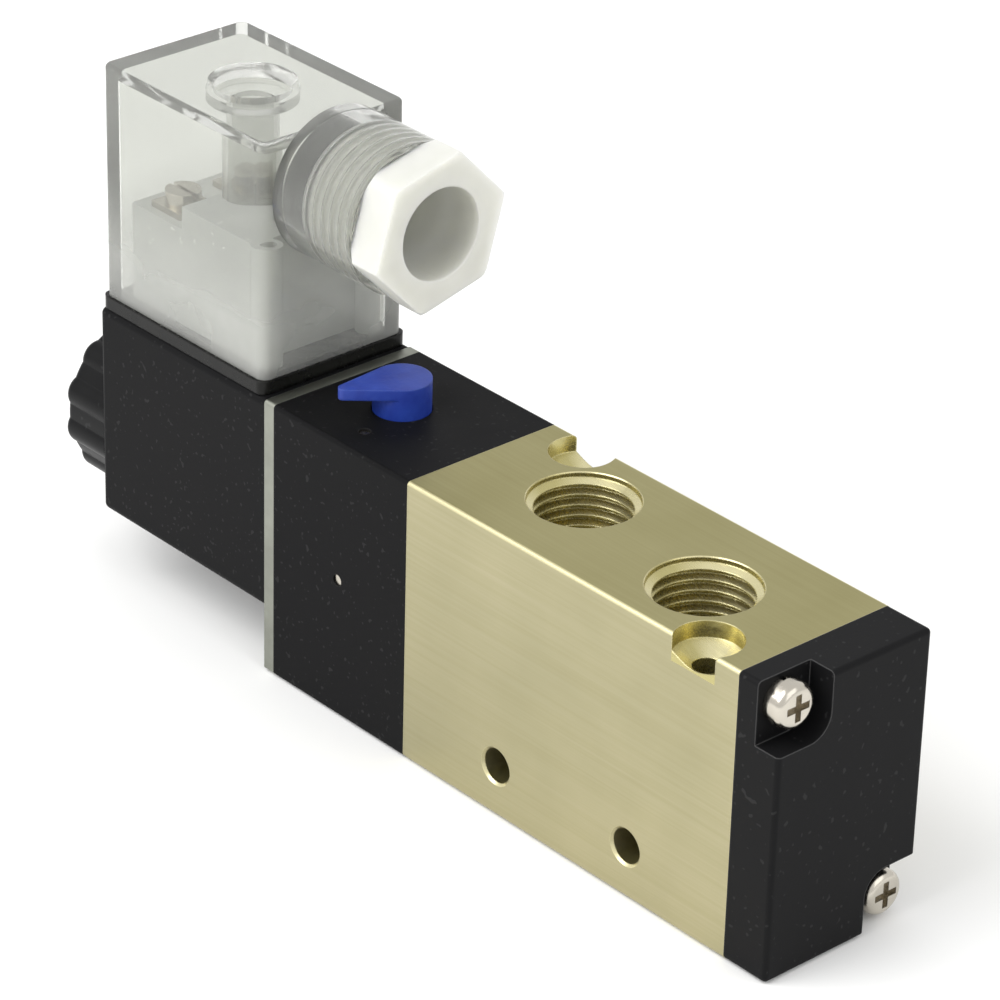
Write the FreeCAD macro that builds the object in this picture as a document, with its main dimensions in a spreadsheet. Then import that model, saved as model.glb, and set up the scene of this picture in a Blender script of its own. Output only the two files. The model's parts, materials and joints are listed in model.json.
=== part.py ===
import FreeCAD, Part
import math
import os
import re

import Sketcher

# A 5/2 solenoid directional valve, 22.6 mm wide, built in millimetres.
# Origin: centre of the pressure port's mouth on the underside of the valve body.
# +X runs along the spool from the solenoid to the end cap, +Z is up, towards the working ports.

DIMENSIONS = {
    # whole valve
    "width": 22.6,
    "height": 36.4,
    "axis_height": 18.4,
    "body_length": 54.0,
    "pilot_length": 24.0,
    "plate_thick": 1.75,
    "coil_length": 31.85,
    "coil_height": 27.8,
    "cap_length": 6.5,
    "body_round": 0.5,
    "running_gap": 0.04,
    # how far cutters run past the face they cut
    "past": 1.0,
    "seat_gap": 0.01,
    # working, supply and exhaust ports
    "port_spacing": 22.8,
    "port_stagger": 1.5,
    "port_depth": 9.0,
    "supply_depth": 8.4,
    "feed_spacing": 17.2,
    "exhaust_spacing": 37.6,
    "exhaust_depth": 7.5,
    "quarter_minor": 5.7225,
    "quarter_major": 6.5785,
    "quarter_pitch": 1.337,
    "eighth_minor": 4.283,
    "eighth_major": 4.864,
    "eighth_pitch": 0.907,
    "mouth_chamfer": 0.12,
    "feed_radius": 1.5,
    "exhaust_feed_radius": 1.2,
    "exhaust_feed_spacing": 34.0,
    "exhaust_feed_y": 2.4,
    "gallery_radius": 0.7,
    "gallery_z": 10.4,
    # mounting holes
    "side_hole_radius": 2.15,
    "side_hole_spacing": 21.7,
    "side_hole_z": 6.4,
    "side_hole_chamfer": 0.3,
    "notch_x": 20.05,
    "notch_y": 9.1,
    "notch_radius": 4.0,
    "notch_depth": 2.1,
    "notch_cone": 1.2,
    "notch_hole_radius": 1.7,
    # clamping screws, metric 3
    "screw_y": 7.9,
    "screw_edge": 3.2,
    "screw_radius": 1.47,
    "tapped_radius": 1.5,
    "tapped_depth": 2.6,
    "screw_hole_radius": 1.7,
    "cap_screw_length": 6.0,
    "pilot_screw_length": 28.0,
    "head_radius": 2.75,
    "head_height": 2.0,
    "countersink_lip": 0.1,
    "cross_width": 0.85,
    "cross_span": 3.3,
    "cross_depth": 1.2,
    "lock_washer_thick": 0.8,
    "lock_washer_radius": 2.6,
    "lock_washer_slit": 0.6,
    # spool and its bore
    "bore_radius": 5.0,
    "chamber_radius": 6.4,
    "chamber_width": 3.6,
    "chamber_pitch": 8.2,
    "stroke": 3.0,
    "spool_waist": 2.8,
    "spool_land": 4.85,
    "spool_groove": 3.7,
    "spool_seal_width": 1.6,
    "spool_collar": 0.7,
    "inner_seal_x": 1.7,
    "middle_seal_x": 14.5,
    "outer_seal_x": 22.0,
    "spool_left": 26.0,
    "spool_right": 22.4,
    "spool_tip_radius": 2.2,
    "spool_tip_length": 1.8,
    # drive piston
    "cylinder_radius": 6.9,
    "cylinder_depth": 7.5,
    "piston_radius": 6.8,
    "piston_thick": 4.15,
    "piston_groove": 5.4,
    "piston_seal_width": 1.8,
    "piston_nose": 3.0,
    # end cap
    "cap_round": 0.6,
    "pocket_floor": 2.9,
    "pocket_wall_y": 3.6,
    "pocket_height": 7.8,
    "pocket_round": 3.0,
    "spring_pocket_radius": 4.4,
    "spring_pocket_depth": 4.6,
    "gasket_thick": 0.8,
    "gasket_inset": 1.4,
    "gasket_clear": 0.4,
    "gasket_gallery_radius": 0.9,
    # springs
    "return_coil_radius": 3.3,
    "return_wire_radius": 0.4,
    "return_turns": 5.0,
    "plunger_coil_radius": 3.6,
    "plunger_wire_radius": 0.3,
    "plunger_turns": 4.0,
    "override_coil_radius": 2.75,
    "override_wire_radius": 0.3,
    "override_turns": 2.5,
    # pilot body
    "override_x": 41.25,
    "override_recess_radius": 3.6,
    "override_recess_depth": 7.5,
    "override_bore_radius": 1.8,
    "override_bore_floor": 12.4,
    "override_pocket_radius": 2.3,
    "override_pocket_top": 14.6,
    "supply_drill_x": 44.7,
    "drill_radius": 0.6,
    "outlet_y": 2.9,
    "outlet_z": 20.6,
    "outlet_link_end": 1.0,
    "plug_x": 39.45,
    "plug_y": 7.2,
    "plug_radius": 0.75,
    "plug_length": 1.6,
    "plug_recess": 0.25,
    "pin_x": 39.25,
    "pin_z": 18.2,
    "pin_reach": 4.0,
    "pin_play": 0.1,
    "flange_radius": 7.2,
    "flange_thick": 1.4,
    "cavity_radius": 4.6,
    "cavity_depth": 2.0,
    "nozzle_radius": 1.8,
    "nozzle_tip_radius": 1.0,
    "nozzle_bore": 0.5,
    "nozzle_depth": 2.2,
    "nozzle_rise": 1.3,
    "tube_ring_inner": 5.6,
    "tube_ring_outer": 6.8,
    "tube_ring_thick": 0.8,
    # manual override lever
    "lever_head_radius": 3.5,
    "lever_head_gap": 1.5,
    "lever_under": 2.6,
    "lever_top": 4.0,
    "lever_tip_reach": 7.3,
    "lever_tip_radius": 0.7,
    "lever_rest_angle": 18.0,
    "lever_travel": 1.2,
    "stem_radius": 1.75,
    "stem_groove": 1.15,
    "stem_bottom": 14.0,
    "stem_ring_width": 1.0,
    "stem_lower_ring_z": 15.2,
    "stem_upper_ring_z": 24.4,
    # armature
    "tube_outer": 4.8,
    "tube_inner": 4.4,
    "tube_hole": 4.9,
    "core_shoulder": 0.6,
    "stub_radius": 3.0,
    "stub_length": 6.2,
    "stub_chamfer": 0.3,
    "core_bore": 0.6,
    "plunger_radius": 4.3,
    "plunger_front": 1.7,
    "plunger_long": 14.7,
    "plunger_tail": 6.1,
    "plunger_tail_radius": 2.9,
    "plunger_slot": 1.2,
    "plunger_slot_depth": 0.6,
    "plunger_travel": 0.85,
    "plunger_seal_radius": 1.6,
    "plunger_seal_thick": 1.5,
    "plunger_seal_proud": 0.35,
    # coil
    "coil_round": 0.9,
    "coil_wall": 1.4,
    "coil_side_wall": 1.8,
    "coil_floor": 1.0,
    "coil_cavity_top": 29.0,
    "yoke_thick": 1.5,
    "bobbin_wall": 0.55,
    "bobbin_flange": 1.0,
    "bobbin_flange_radius": 8.4,
    "winding_radius": 8.0,
    # coil nut
    "nut_disc_radius": 10.5,
    "nut_lobe_radius": 2.4,
    "nut_lobe_reach": 8.7,
    "nut_lobes": 12.0,
    "nut_first_lobe": 13.0,
    "nut_round": 1.0,
    "nut_thick": 8.2,
    "nut_bore": 3.05,
    "nut_washer_radius": 6.5,
    "nut_washer_thick": 0.6,
    "nut_hub_radius": 5.2,
    "nut_hub_recess": 0.9,
    # connector
    "connector_x": 68.93,
    "connector_length": 30.35,
    "connector_width": 21.4,
    "connector_height": 30.25,
    "connector_round": 1.2,
    "connector_top_round": 0.6,
    "connector_wall": 1.6,
    "connector_roof": 2.0,
    "seat_gasket_height": 1.7,
    "seat_gasket_margin": 0.35,
    "cup_radius": 4.66,
    "cup_depth": 2.4,
    "cup_wall": 0.9,
    "cup_rim": 5.3,
    "column_root": 0.5,
    "column_radius": 3.15,
    "column_bore": 2.45,
    "column_bottom": 40.4,
    "column_floor": 2.0,
    "fixing_hole_radius": 1.6,
    "fixing_screw_length": 10.8,
    "fixing_head_radius": 2.3,
    "bush_radius": 2.3,
    "bush_length": 5.5,
    # terminals inside the connector
    "block_bottom": 38.4,
    "block_top": 53.9,
    "block_step_top": 51.0,
    "block_half_width": 8.4,
    "block_left": 80.6,
    "block_step_x": 71.0,
    "block_right": 58.2,
    "block_hole": 3.3,
    "post_x": 57.0,
    "post_y": 7.4,
    "post_radius": 1.5,
    "post_hole": 0.8,
    "post_hole_depth": 3.0,
    "line_blade_x": 75.6,
    "line_blade_y": 4.6,
    "earth_blade_x": 61.4,
    "blade_width": 5.0,
    "blade_thick": 0.8,
    "blade_bottom": 30.0,
    "blade_top": 46.4,
    "blade_gap": 0.05,
    "clip_width": 5.6,
    "clip_thick": 2.8,
    "clip_bottom": 39.4,
    "clip_top": 51.0,
    "clip_slot_top": 47.0,
    "clip_gap": 0.05,
    "clamp_thick": 0.8,
    "clamp_width": 5.4,
    "earth_clamp_width": 4.0,
    "earth_well_radius": 3.0,
    "terminal_screw_radius": 1.2,
    "terminal_screw_depth": 3.4,
    "terminal_head_radius": 2.2,
    "terminal_head_height": 1.7,
    "slot_width": 0.6,
    "slot_depth": 0.6,
    # cable gland
    "gland_z": 61.0,
    "boss_radius": 9.3,
    "boss_length": 13.7,
    "boss_bore_depth": 13.6,
    "boss_minor": 7.2,
    "boss_major": 7.85,
    "gland_pitch": 1.5,
    "cable_passage": 5.0,
    "grommet_radius": 7.15,
    "grommet_length": 3.5,
    "grommet_bore": 3.6,
    "follower_thick": 0.5,
    "gland_bore": 5.7,
    "gland_crest": 7.15,
    "gland_root": 6.55,
    "hex_length": 5.1,
    "hex_circumradius": 9.85,
    "hex_rear_radius": 9.0,
    "hex_front_radius": 9.5,
    "hex_angle": 14.0,
}

PORT_RINGS = 5
EXHAUST_RINGS = 6
BOSS_RINGS = 6
GLAND_RINGS = 5

BODY_END = "body_length / 2"
PILOT_FAR = "(-body_length / 2 - pilot_length)"
PLATE_FAR = f"({PILOT_FAR} - plate_thick)"
COIL_FAR = f"({PLATE_FAR} - coil_length)"
COIL_FLOOR_Z = "(height - coil_height)"
GASKET_TOP = "(height + seat_gasket_height)"
ROOF_Z = f"({GASKET_TOP} + connector_height)"
CONNECTOR_FRONT = "(connector_length / 2 - connector_x)"
BOSS_END = f"({CONNECTOR_FRONT} + boss_length)"

ALONG_X = FreeCAD.Rotation()
ALONG_MINUS_X = FreeCAD.Rotation(FreeCAD.Vector(0, 0, 1), 180)
ALONG_Y = FreeCAD.Rotation(FreeCAD.Vector(0, 0, 1), 90)
UP = FreeCAD.Rotation(FreeCAD.Vector(0, 1, 0), -90)
DOWN = FreeCAD.Rotation(FreeCAD.Vector(0, 1, 0), 90)
# a cylinder primitive grows along its own Z, so it needs its own turns
CYLINDER_TURNS = {
    "X": FreeCAD.Rotation(FreeCAD.Vector(0, 1, 0), 90),
    "Y": FreeCAD.Rotation(FreeCAD.Vector(1, 0, 0), -90),
    "Z": FreeCAD.Rotation(),
}

document = FreeCAD.newDocument("DirectionalValve")
sheet = document.addObject("Spreadsheet::Sheet", "dims")
ALIAS = re.compile(r"[a-z][a-z_]+")


def fill_sheet():
    for row, (alias, value) in enumerate(DIMENSIONS.items(), start=1):
        sheet.set(f"A{row}", alias)
        sheet.set(f"B{row}", str(value))
        sheet.setAlias(f"B{row}", alias)
    document.recompute()


def linked(expression):
    """Point every dimension name in an expression at the spreadsheet."""
    return ALIAS.sub(lambda word: f"dims.{word.group()}", expression)


def number(expression):
    return float(sheet.evalExpression(linked(expression)))


def bind(item, target, expression):
    item.setExpression(target, linked(expression))


def place(item, position, turn=ALONG_X):
    item.Placement = FreeCAD.Placement(FreeCAD.Vector(), turn)
    for letter, expression in zip("xyz", position):
        bind(item, f".Placement.Base.{letter}", expression)


def box(name, size, corner):
    item = document.addObject("Part::Box", name)
    for side, expression in zip(("Length", "Width", "Height"), size):
        bind(item, side, expression)
    place(item, corner)
    return item


def centred_box(name, size, middle):
    """A box given by its middle in X and Y and its lowest Z."""
    corner = (
        f"{middle[0]} - ({size[0]}) / 2",
        f"{middle[1]} - ({size[1]}) / 2",
        middle[2],
    )
    return box(name, size, corner)


def cylinder(name, radius, length, start, axis="Z"):
    item = document.addObject("Part::Cylinder", name)
    bind(item, "Radius", radius)
    bind(item, "Height", length)
    place(item, start, CYLINDER_TURNS[axis])
    return item


def outline_sketch(owner, name, corners):
    """A closed outline of straight sides, with every corner tied to the spreadsheet."""
    sketch = owner("Sketcher::SketchObject", name)
    add_outline(sketch, corners)
    return sketch


def add_outline(sketch, corners):
    first = sketch.GeometryCount
    count = len(corners)
    values = [[number(part) for part in corner] for corner in corners]
    points = [FreeCAD.Vector(u, v, 0) for u, v in values]
    for index in range(count):
        following = (index + 1) % count
        sketch.addGeometry(Part.LineSegment(points[index], points[following]), False)
    for index in range(count):
        following = first + (index + 1) % count
        sketch.addConstraint(Sketcher.Constraint("Coincident", first + index, 2, following, 1))
    for index, (corner, value) in enumerate(zip(corners, values)):
        for kind, expression, size in zip(("DistanceX", "DistanceY"), corner, value):
            rule = Sketcher.Constraint(kind, -1, 1, first + index, 1, size)
            tie(sketch, sketch.addConstraint(rule), expression)


def add_circle(sketch, centre, radius):
    middle = FreeCAD.Vector(number(centre[0]), number(centre[1]), 0)
    circle = Part.Circle(middle, FreeCAD.Vector(0, 0, 1), number(radius))
    index = sketch.addGeometry(circle, False)
    for kind, expression in zip(("DistanceX", "DistanceY"), centre):
        rule = Sketcher.Constraint(kind, -1, 1, index, 3, number(expression))
        tie(sketch, sketch.addConstraint(rule), expression)
    rule = Sketcher.Constraint("Radius", index, number(radius))
    tie(sketch, sketch.addConstraint(rule), radius)


def tie(sketch, constraint, expression):
    bind(sketch, f"Constraints[{constraint}]", expression)


def rectangle(middle, size):
    """Corners of a rectangle from its middle and its two side lengths."""
    return [
        (f"{middle[0]} + {sign_u} * ({size[0]}) / 2", f"{middle[1]} + {sign_v} * ({size[1]}) / 2")
        for sign_u, sign_v in ((-1, -1), (1, -1), (1, 1), (-1, 1))
    ]


def turned(name, outline, start, turn=ALONG_X):
    """A turned solid from (distance along the axis, radius) corners."""
    sketch = outline_sketch(document.addObject, f"{name}_outline", outline)
    item = document.addObject("Part::Revolution", name)
    item.Source = sketch
    item.Axis = FreeCAD.Vector(1, 0, 0)
    item.Base = FreeCAD.Vector()
    item.Angle = 360.0
    item.Solid = True
    place(item, start, turn)
    return item


def plate(name, plane, outlines, circles, thickness, start):
    """A flat plate padded from one sketch: the first outline is its edge, the rest are openings."""
    body = document.addObject("PartDesign::Body", name)
    face = next(part for part in body.Origin.OriginFeatures if part.Role == plane)
    sketch = outline_sketch(body.newObject, f"{name}_sketch", outlines[0])
    sketch.AttachmentSupport = (face, [""])
    sketch.MapMode = "FlatFace"
    for opening in outlines[1:]:
        add_outline(sketch, opening)
    for centre, radius in circles:
        add_circle(sketch, centre, radius)
    pad = body.newObject("PartDesign::Pad", f"{name}_pad")
    pad.Profile = sketch
    bind(pad, "Length", thickness)
    body.Tip = pad
    place(body, start)
    return body


def fused(name, items):
    item = document.addObject("Part::MultiFuse", name)
    item.Shapes = items
    return item


def carved(name, base, tools):
    tool = tools[0] if len(tools) == 1 else fused(f"{name}_tools", tools)
    item = document.addObject("Part::Cut", name)
    item.Base = base
    item.Tool = tool
    return item


def shared(name, base, tool):
    item = document.addObject("Part::Common", name)
    item.Base = base
    item.Tool = tool
    return item


def rounded(name, base, radius, chosen):
    """Round the edges of base for which chosen(edge) is true."""
    document.recompute()
    size = number(radius)
    item = document.addObject("Part::Fillet", name)
    item.Base = base
    edges = enumerate(base.Shape.Edges, start=1)
    item.Edges = [(index, size, size) for index, edge in edges if chosen(edge)]
    return item


def runs_along(axis):
    """Choose the edges parallel to one axis, 0 to 2 for X to Z."""

    def chosen(edge):
        box_size = edge.BoundBox
        sides = (box_size.XLength, box_size.YLength, box_size.ZLength)
        return all(side < 1e-6 for other, side in enumerate(sides) if other != axis)

    return chosen


def lies_on(axis, expression):
    """Choose the edges that lie in the plane at one position along an axis."""
    position = number(expression)

    def chosen(edge):
        limits = edge.BoundBox
        low = (limits.XMin, limits.YMin, limits.ZMin)[axis]
        high = (limits.XMax, limits.YMax, limits.ZMax)[axis]
        return abs(low - position) < 1e-4 and abs(high - position) < 1e-4

    return chosen


def either(*choices):
    return lambda edge: any(choice(edge) for choice in choices)


# clearance kept at each end of a spring, in wire radii from the end to the wire's middle
WIRE_MARGIN = "1.05"


def spring(name, coil_radius, wire_radius, turns, length, start, axis):
    """A coil spring whose wire stays inside the given length."""
    spine = document.addObject("Part::Helix", f"{name}_spine")
    span = f"(({length}) - 2 * {WIRE_MARGIN} * {wire_radius})"
    bind(spine, "Radius", coil_radius)
    bind(spine, "Height", span)
    bind(spine, "Pitch", f"{span} / {turns}")
    wire = document.addObject("Part::Circle", f"{name}_wire")
    bind(wire, "Radius", wire_radius)
    place(wire, (coil_radius, "0", "0"), FreeCAD.Rotation(FreeCAD.Vector(1, 0, 0), 90))
    item = document.addObject("Part::Sweep", name)
    item.Sections = [wire]
    item.Spine = (spine, [])
    item.Solid = True
    item.Frenet = True
    offset = {"X": (WIRE_MARGIN, "0", "0"), "Z": ("0", "0", WIRE_MARGIN)}[axis]
    position = [f"{at} + {share} * {wire_radius}" for at, share in zip(start, offset)]
    place(item, position, CYLINDER_TURNS[axis])
    return item


def thread_comb(first, pitch, low, high, rings):
    """Corners of a row of thread rings that leave radius low and reach radius high."""
    corners = []
    for ring in range(rings):
        base = f"{first} + {ring} * {pitch}"
        corners += [
            (base, low),
            (f"{base} + {pitch} / 3", high),
            (f"{base} + {pitch} / 2", high),
            (f"{base} + {pitch} * 5 / 6", low),
        ]
    return corners


def tapped_port(name, size, depth, rings, mouth, turn):
    """Cutter for a threaded port: a broken edge, a first open turn, thread rings and a flat floor."""
    minor, major, pitch = f"{size}_minor", f"{size}_major", f"{size}_pitch"
    lip = f"({major} + mouth_chamfer)"
    outline = [
        ("-past", "0"),
        ("-past", lip),
        ("0", lip),
        ("mouth_chamfer", major),
        (f"{pitch} / 2", major),
        (f"{pitch} * 5 / 6", minor),
        *thread_comb(pitch, pitch, minor, major, rings),
        (depth, minor),
        (depth, "0"),
    ]
    return turned(name, outline, mouth, turn)


def bore_cutter():
    """The spool bore with its five annular chambers."""
    outline = [(f"-{BODY_END} - past", "0"), (f"-{BODY_END} - past", "bore_radius")]
    for index in range(-2, 3):
        middle = f"{index} * chamber_pitch"
        outline += [
            (f"{middle} - chamber_width / 2", "bore_radius"),
            (f"{middle} - chamber_width / 2", "chamber_radius"),
            (f"{middle} + chamber_width / 2", "chamber_radius"),
            (f"{middle} + chamber_width / 2", "bore_radius"),
        ]
    outline += [(f"{BODY_END} + past", "bore_radius"), (f"{BODY_END} + past", "0")]
    return turned("bore_cutter", outline, ("0", "0", "axis_height"))


def port_cutters():
    cutters = []
    for sign in (-1, 1):
        mouth = (f"{sign} * port_spacing / 2", f"{-sign} * port_stagger", "height")
        cutters.append(
            tapped_port("working_port", "quarter", "port_depth", PORT_RINGS, mouth, DOWN)
        )
        feed = (f"{sign} * feed_spacing / 2", "0", "axis_height")
        cutters.append(cylinder("working_feed", "feed_radius", "height - port_depth - axis_height", feed))
        mouth = (f"{sign} * exhaust_spacing / 2", "0", "0")
        cutters.append(
            tapped_port("exhaust_port", "eighth", "exhaust_depth", EXHAUST_RINGS, mouth, UP)
        )
        feed = (f"{sign} * exhaust_feed_spacing / 2", "-exhaust_feed_y", "exhaust_depth - past")
        height = "axis_height - exhaust_depth"
        cutters.append(cylinder("exhaust_feed", "exhaust_feed_radius", height, feed))
    mouth = ("0", "0", "0")
    cutters.append(tapped_port("supply_port", "quarter", "supply_depth", PORT_RINGS, mouth, UP))
    feed = ("0", "0", "supply_depth - past")
    cutters.append(cylinder("supply_feed", "feed_radius", "axis_height - supply_depth", feed))
    start = (f"-{BODY_END} - past", "0", "gallery_z")
    cutters.append(cylinder("body_gallery", "gallery_radius", f"{BODY_END} + past", start, "X"))
    return cutters


def side_hole_cutter(sign):
    """A through hole across the body, chamfered at both faces."""
    lip = "(side_hole_radius + side_hole_chamfer)"
    outline = [
        ("-past", "0"),
        ("-past", lip),
        ("0", lip),
        ("side_hole_chamfer", "side_hole_radius"),
        ("width - side_hole_chamfer", "side_hole_radius"),
        ("width", lip),
        ("width + past", lip),
        ("width + past", "0"),
    ]
    start = (f"{sign} * side_hole_spacing / 2", "-width / 2", "side_hole_z")
    return turned("side_hole", outline, start, ALONG_Y)


def notch_cutter(sign):
    """A corner screw seat that breaks out of the side, with its hole through to the underside."""
    cone_end = "notch_depth + notch_cone"
    outline = [
        ("-past", "0"),
        ("-past", "notch_radius"),
        ("notch_depth", "notch_radius"),
        (cone_end, "notch_hole_radius"),
        ("height + past", "notch_hole_radius"),
        ("height + past", "0"),
    ]
    start = (f"{sign} * notch_x", f"{-sign} * notch_y", "height")
    return turned("corner_notch", outline, start, DOWN)


def corner_positions(side):
    """Y and Z of a diagonal pair of clamping screws; side 1 is the end cap, -1 the pilot."""
    return [
        (f"{-side} * screw_y", "height - screw_edge"),
        (f"{side} * screw_y", "screw_edge"),
    ]


def tapped_screw_holes():
    cutters = []
    for side, start in ((1, f"{BODY_END} - tapped_depth"), (-1, f"-{BODY_END} - past")):
        for y, z in corner_positions(side):
            cutters.append(
                cylinder("tapped_hole", "tapped_radius", "tapped_depth + past", (start, y, z), "X")
            )
    return cutters


def valve_body():
    block = box("body_block", ("body_length", "width", "height"), (f"-{BODY_END}", "-width / 2", "0"))
    base = rounded("body_rounded", block, "body_round", runs_along(0))
    tools = [bore_cutter(), *port_cutters(), *tapped_screw_holes()]
    for sign in (-1, 1):
        tools += [side_hole_cutter(sign), notch_cutter(sign)]
    return carved("valve_body", base, tools)


SEAL_PLACES = [
    f"{sign} * {name} - stroke / 2"
    for sign, name in (
        (-1, "outer_seal_x"),
        (-1, "middle_seal_x"),
        (-1, "inner_seal_x"),
        (1, "inner_seal_x"),
        (1, "middle_seal_x"),
        (1, "outer_seal_x"),
    )
]


def spool():
    """The spool at rest: waists between six grooved lands, and a tip that centres the spring."""
    outline = [("-spool_left", "0"), ("-spool_left", "spool_waist")]
    for middle in SEAL_PLACES:
        groove_from = f"{middle} - spool_seal_width / 2"
        groove_to = f"{middle} + spool_seal_width / 2"
        outline += [
            (f"{groove_from} - spool_collar", "spool_waist"),
            (f"{groove_from} - spool_collar", "spool_land"),
            (groove_from, "spool_land"),
            (groove_from, "spool_groove"),
            (groove_to, "spool_groove"),
            (groove_to, "spool_land"),
            (f"{groove_to} + spool_collar", "spool_land"),
            (f"{groove_to} + spool_collar", "spool_waist"),
        ]
    outline += [
        ("spool_right", "spool_waist"),
        ("spool_right", "spool_tip_radius"),
        ("spool_right + spool_tip_length", "spool_tip_radius"),
        ("spool_right + spool_tip_length", "0"),
    ]
    return turned("spool", outline, ("0", "0", "axis_height"))


def ring(name, inner, outer, width, start, turn=ALONG_X):
    outline = [("0", inner), ("0", outer), (width, outer), (width, inner)]
    return turned(name, outline, start, turn)


def spool_seals():
    outer = "bore_radius - running_gap"
    rings = []
    for middle in SEAL_PLACES:
        start = (f"{middle} - spool_seal_width / 2", "0", "axis_height")
        rings.append(ring("spool_seal", "spool_groove", outer, "spool_seal_width", start))
    return fused("spool_seals", rings)


PISTON_LEFT = "(-body_length / 2 - cylinder_depth + running_gap)"


def drive_piston():
    """A grooved disc with a nose that pushes the spool."""
    groove_from = "(piston_thick - piston_seal_width) / 2"
    groove_to = "(piston_thick + piston_seal_width) / 2"
    nose_end = f"(-spool_left - {PISTON_LEFT})"
    outline = [
        ("0", "0"),
        ("0", "piston_radius"),
        (groove_from, "piston_radius"),
        (groove_from, "piston_groove"),
        (groove_to, "piston_groove"),
        (groove_to, "piston_radius"),
        ("piston_thick", "piston_radius"),
        ("piston_thick", "piston_nose"),
        (nose_end, "piston_nose"),
        (nose_end, "0"),
    ]
    return turned("drive_piston", outline, (PISTON_LEFT, "0", "axis_height"))


def piston_seal():
    start = (f"{PISTON_LEFT} + (piston_thick - piston_seal_width) / 2", "0", "axis_height")
    outer = "cylinder_radius - running_gap"
    return ring("piston_seal", "piston_groove", outer, "piston_seal_width", start)


def return_spring():
    room = f"{BODY_END} + spring_pocket_depth - spool_right"
    start = ("spool_right", "0", "axis_height")
    return spring(
        "return_spring", "return_coil_radius", "return_wire_radius", "return_turns", room, start, "X"
    )


def gasket_outline():
    return rectangle(("0", "height / 2"), ("width - 2 * gasket_inset", "height - 2 * gasket_inset"))


def gasket_recess(name, start_x):
    """Room for a flat gasket, a hair larger than the gasket all round."""
    size = (
        "gasket_thick + past",
        "width - 2 * gasket_inset + 2 * seat_gap",
        "height - 2 * gasket_inset + 2 * seat_gap",
    )
    corner = (start_x, "gasket_inset - width / 2 - seat_gap", "gasket_inset - seat_gap")
    return box(name, size, corner)


def end_cap():
    """The moulded end cap with two diagonal screw pockets and the spring pocket."""
    start = (BODY_END, "-width / 2", "0")
    block = box("cap_block", ("cap_length", "width", "height"), start)
    far = lies_on(0, f"{BODY_END} + cap_length")
    base = rounded("cap_rounded", block, "cap_round", either(far, runs_along(0)))
    tools = [gasket_recess("cap_gasket_recess", f"{BODY_END} - past")]
    depth = "cap_length - pocket_floor + past"
    for sign, low in ((-1, "height - pocket_height"), (1, "-past")):
        corner = (
            f"{BODY_END} + pocket_floor",
            "pocket_wall_y" if sign > 0 else "-width / 2 - past",
            low,
        )
        size = (depth, "width / 2 + past - pocket_wall_y", "pocket_height + past")
        pocket = box("screw_pocket", size, corner)
        inner = runs_along(0)
        wall = lies_on(1, f"{sign} * pocket_wall_y")
        level = "height - pocket_height" if sign < 0 else "pocket_height"
        floor = lies_on(2, level)
        tools.append(
            rounded(
                "pocket_rounded",
                pocket,
                "pocket_round",
                lambda edge, tests=(inner, wall, floor): all(test(edge) for test in tests),
            )
        )
    for y, z in corner_positions(1):
        start = (f"{BODY_END} - past", y, z)
        tools.append(cylinder("cap_screw_hole", "screw_hole_radius", "cap_length + 2 * past", start, "X"))
    start = (f"{BODY_END} - past", "0", "axis_height")
    tools.append(
        cylinder("spring_pocket", "spring_pocket_radius", "spring_pocket_depth + past", start, "X")
    )
    return carved("end_cap", base, tools)


def face_gasket(name, side, start_x, opening, extra):
    holes = [(position, "screw_hole_radius") for position in corner_positions(side)]
    holes.append((("0", "axis_height"), opening))
    start = (start_x, "0", "0")
    return plate(name, "YZ_Plane", [gasket_outline()], holes + extra, "gasket_thick", start)


def end_cap_gasket():
    return face_gasket("end_cap_gasket", 1, BODY_END, "spring_pocket_radius + gasket_clear", [])


def pilot_gasket():
    gallery = (("0", "gallery_z"), "gasket_gallery_radius")
    start = f"-{BODY_END} - gasket_thick"
    return face_gasket("pilot_gasket", -1, start, "cylinder_radius", [gallery])


def cross_recess(name, start):
    """Cutter for a cross recess that runs along +X from the given point."""
    x, y, z = start
    arms = []
    for across, upright in (("cross_span", "cross_width"), ("cross_width", "cross_span")):
        corner = (x, f"{y} - {across} / 2", f"{z} - {upright} / 2")
        arms.append(box(f"{name}_arm", ("cross_depth + past", across, upright), corner))
    return arms


def end_cap_screws():
    screws = []
    seat = f"({BODY_END} + pocket_floor + lock_washer_thick)"
    for y, z in corner_positions(1):
        shank_start = (f"{seat} - cap_screw_length", y, z)
        shank = cylinder("cap_screw_shank", "screw_radius", "cap_screw_length", shank_start, "X")
        head = cylinder("cap_screw_head", "head_radius", "head_height", (seat, y, z), "X")
        dome = rounded("cap_screw_dome", head, "head_height / 2", lies_on(0, f"{seat} + head_height"))
        blank = fused("cap_screw_blank", [shank, dome])
        arms = cross_recess("cap_screw", (f"{seat} + head_height - cross_depth", y, z))
        screws.append(carved("cap_screw", blank, arms))
    return fused("end_cap_screws", screws)


def end_cap_spring_washers():
    washers = []
    for y, z in corner_positions(1):
        start = (f"{BODY_END} + pocket_floor", y, z)
        washer = ring("washer_ring", "screw_hole_radius", "lock_washer_radius", "lock_washer_thick", start)
        corner = (f"{start[0]} - past", f"{y} - lock_washer_slit / 2", z)
        size = ("lock_washer_thick + 2 * past", "lock_washer_slit", "head_radius")
        slit = box("washer_slit", size, corner)
        washers.append(carved("split_washer", washer, [slit]))
    return fused("end_cap_spring_washers", washers)


FLANGE_FLOOR = f"({PILOT_FAR} + flange_thick)"
CAVITY_FLOOR = f"({FLANGE_FLOOR} + cavity_depth)"


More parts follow.
